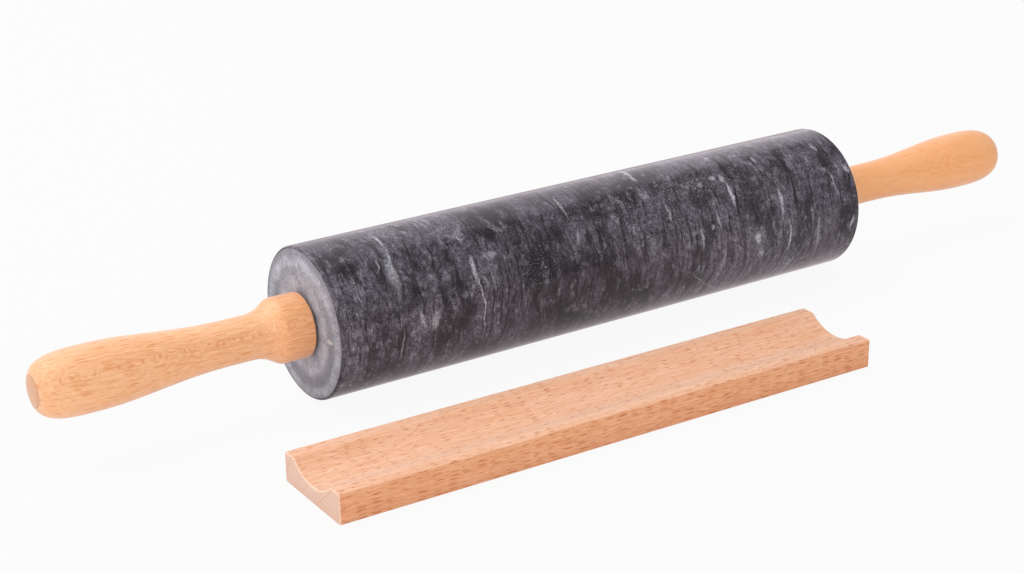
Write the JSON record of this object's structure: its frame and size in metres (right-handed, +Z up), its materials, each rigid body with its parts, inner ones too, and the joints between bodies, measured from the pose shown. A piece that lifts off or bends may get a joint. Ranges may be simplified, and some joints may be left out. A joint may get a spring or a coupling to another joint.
{
  "type": "marble rolling pin",
  "caption": "Marble rolling pin whose heavy barrel turns on a steel axle between two turned wooden handles, with a low wooden cradle beside it.",
  "frame": {"origin": "middle of the whole, pin and cradle together, on the surface that they stand on", "axes": "+X along the pin's axis, towards its right handle, +Y from the cradle towards the pin, +Z up"},
  "size_m": [0.47, 0.1326, 0.06],
  "materials": {
    "polished_marble": "polished dark grey marble with pale veins, honed end faces",
    "turned_beech": "turned beech, smooth satin",
    "planed_beech": "planed and sanded pale beech",
    "bright_steel": "bright drawn steel",
    "white_nylon": "natural white nylon"
  },
  "bodies": {
    "cradle": {"cradle": "planed_beech"},
    "handles": {"axle_rod": "bright_steel", "axle_tube": "bright_steel", "left_handle": "turned_beech", "right_handle": "turned_beech", "left_thrust_washer": "white_nylon", "right_thrust_washer": "white_nylon", "left_washer": "bright_steel", "right_washer": "bright_steel", "left_nut": "bright_steel", "right_nut": "bright_steel", "left_end_plug": "turned_beech", "right_end_plug": "turned_beech"},
    "barrel": {"marble_barrel": "polished_marble", "left_bush": "white_nylon", "right_bush": "white_nylon"}
  },
  "joints": [
    {"name": "pin_lift", "type": "slide", "parent": "cradle", "child": "handles", "axis": [0, 0, 1], "range_m": [0, 0.15]},
    {"name": "barrel_spin", "type": "hinge", "parent": "handles", "child": "barrel", "pos_m": [0, 0.03627, 0.03], "axis": [1, 0, 0], "continuous": true}
  ]
}
